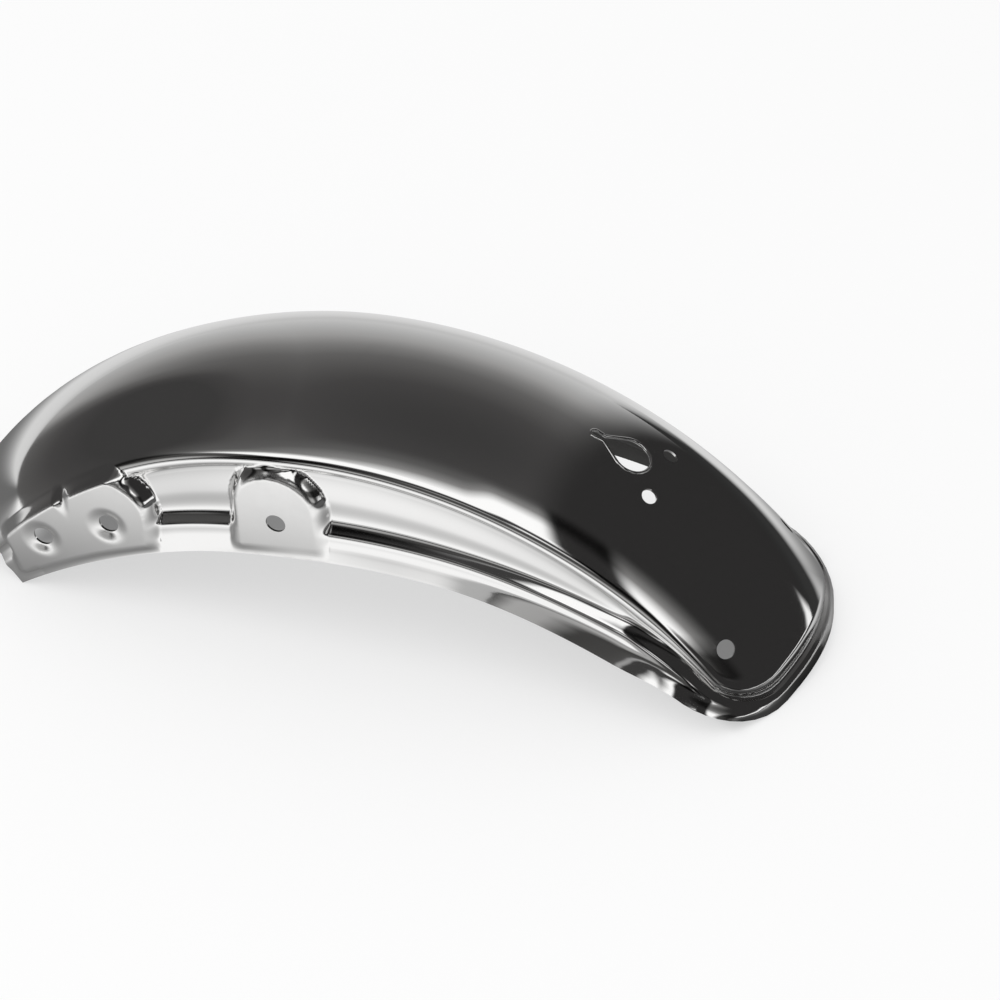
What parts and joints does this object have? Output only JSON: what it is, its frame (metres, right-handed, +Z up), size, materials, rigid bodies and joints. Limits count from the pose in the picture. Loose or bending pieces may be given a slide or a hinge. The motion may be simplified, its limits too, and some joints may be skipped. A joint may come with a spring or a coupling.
{
  "type": "motorcycle rear mudguard",
  "caption": "Arched chrome rear mudguard with a rounded crown, recessed side panels, flared lip round a squared tail, side pads and a teardrop opening.",
  "frame": {"origin": "centre of the outline seen from above, on the floor under the front corners and the tail lip", "axes": "+X to the rear of the motorcycle, +Y across the wheel, +Z up"},
  "size_m": [0.5602, 0.182, 0.1757],
  "materials": {
    "chrome": "polished chrome plate"
  },
  "bodies": {
    "root": {"mudguard": "chrome"}
  },
  "joints": []
}
